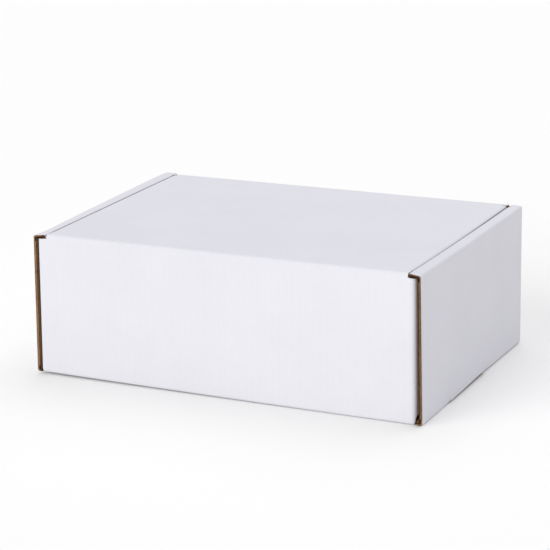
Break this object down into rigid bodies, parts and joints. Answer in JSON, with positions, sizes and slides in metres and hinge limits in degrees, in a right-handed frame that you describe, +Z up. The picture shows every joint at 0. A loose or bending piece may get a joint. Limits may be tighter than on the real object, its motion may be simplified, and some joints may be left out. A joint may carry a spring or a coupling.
{
  "type": "corrugated mailer box",
  "caption": "Closed corrugated mailer box with rolled double side walls, locking tabs and a hinged lid with side flaps and a tuck flap.",
  "frame": {"origin": "centre of the footprint, on the surface the box stands on", "axes": "+X along the width, parallel to the hinge crease; +Z up; the hinge wall faces -Y and the tuck front faces +Y"},
  "size_m": [0.188, 0.1302, 0.0667],
  "materials": {
    "white_board": "matte uncoated white liner outside, brown kraft liner inside, brown fluted cut edges"
  },
  "bodies": {
    "tray": {"tray": "white_board"},
    "lid": {"lid": "white_board"}
  },
  "joints": [
    {"name": "lid_hinge", "type": "hinge", "parent": "tray", "child": "lid", "pos_m": [0, -0.06477, 0.06637], "axis": [1, 0, 0], "range_deg": [0, 180]}
  ]
}
